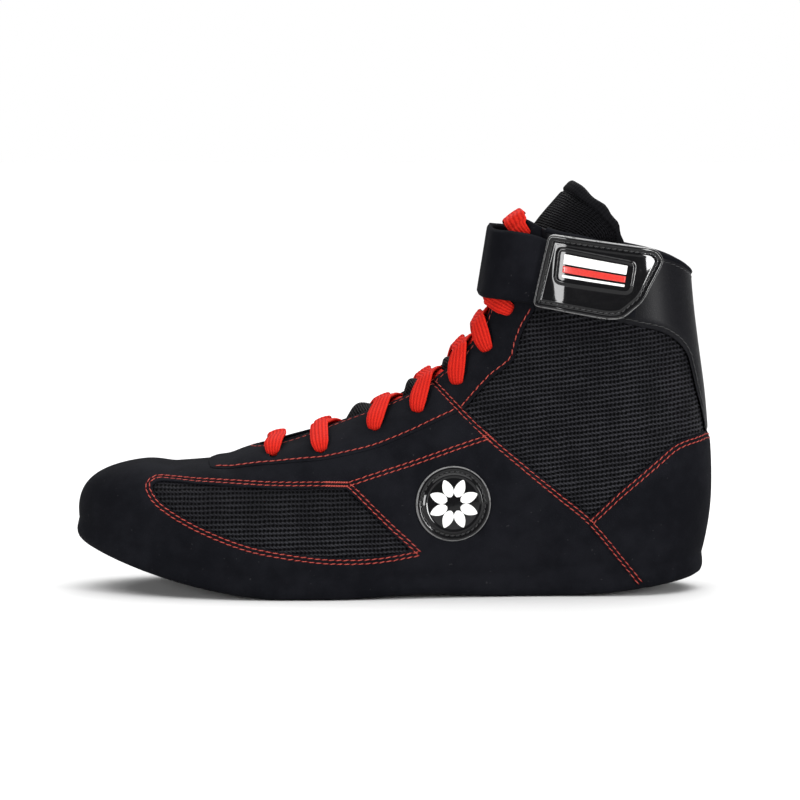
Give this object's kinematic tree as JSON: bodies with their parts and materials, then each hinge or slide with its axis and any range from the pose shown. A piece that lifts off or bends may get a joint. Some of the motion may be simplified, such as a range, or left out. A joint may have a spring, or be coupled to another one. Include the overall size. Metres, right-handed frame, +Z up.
{
  "type": "boxing shoe",
  "caption": "Ankle-high lace-up boxing shoe, left foot: black nubuck and mesh upper rolled under a thin rubber sole, red laces and an ankle strap.",
  "frame": {"origin": "on the floor, under the middle of the shoe's box", "axes": "+X from toe to heel, -Y to the lateral side, +Z up"},
  "size_m": [0.2875, 0.0963, 0.1835],
  "materials": {
    "black rubber": "matt moulded rubber",
    "black sock lining": "matt woven lining",
    "black nubuck": "matt brushed nubuck with a short nap",
    "black air mesh": "open knitted mesh",
    "smooth black leather": "smooth satin leather",
    "black patent": "high-gloss patent film",
    "red lace": "flat ribbed woven lace"
  },
  "bodies": {
    "root": {"outsole": "black rubber", "insole": "black sock lining", "upper": "black nubuck", "tongue": "black air mesh", "eyestay": "black nubuck", "top_eyestay_lateral": "black nubuck", "top_eyestay_medial": "black nubuck", "collar_cuff": "smooth black leather", "heel_counter": "black nubuck", "side_patch": "black patent", "ankle_strap": "black nubuck", "strap_tab": "black patent", "lace_bar_front": "red lace", "lace_bar_top": "red lace", "lace_cross_1": "red lace", "lace_cross_2": "red lace", "lace_cross_3": "red lace", "lace_cross_4": "red lace", "lace_cross_5": "red lace", "lace_cross_6": "red lace"}
  },
  "joints": []
}
